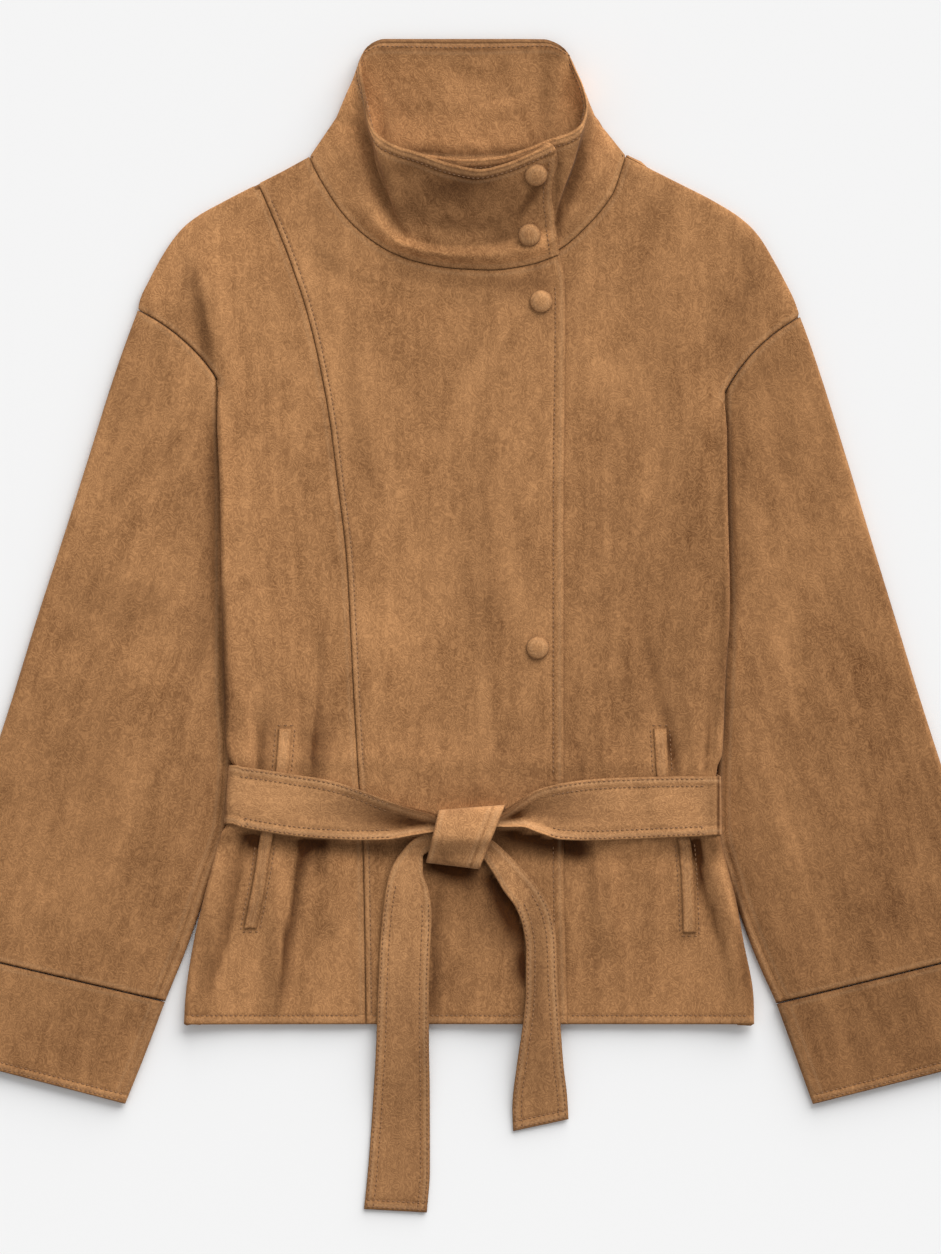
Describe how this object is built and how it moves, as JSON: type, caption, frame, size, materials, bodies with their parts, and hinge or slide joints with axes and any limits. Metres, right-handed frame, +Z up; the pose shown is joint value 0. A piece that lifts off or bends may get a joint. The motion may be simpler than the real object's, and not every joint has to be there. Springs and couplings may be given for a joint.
{
  "type": "suede jacket",
  "caption": "Short suede jacket laid flat on its back, with a funnel collar that laps off centre, wide sleeves with deep cuffs, slanting welt pockets and a knotted tie belt.",
  "frame": {"origin": "on the surface the jacket lies on, under the middle of its overall length and width", "axes": "+X towards the wearer's left sleeve, +Y towards the collar, +Z up out of the front"},
  "size_m": [0.847, 0.88, 0.036],
  "materials": {
    "suede": "brushed tan suede with a soft, mottled nap",
    "belt_suede": "brushed tan suede, two layers stitched round",
    "button_suede": "suede-covered dome of a snap button"
  },
  "bodies": {
    "root": {"back": "suede", "front_right_side": "suede", "front_right_centre": "suede", "front_left": "suede", "collar": "suede", "sleeve_right": "suede", "sleeve_left": "suede", "cuff_right": "suede", "cuff_left": "suede", "pocket_welt_right": "suede", "pocket_welt_left": "suede", "belt_back": "belt_suede", "belt_front_right": "belt_suede", "belt_front_left": "belt_suede", "belt_knot": "belt_suede", "belt_tail_right": "belt_suede", "belt_tail_left": "belt_suede", "button_1": "button_suede", "button_2": "button_suede", "button_3": "button_suede", "button_4": "button_suede"}
  },
  "joints": []
}
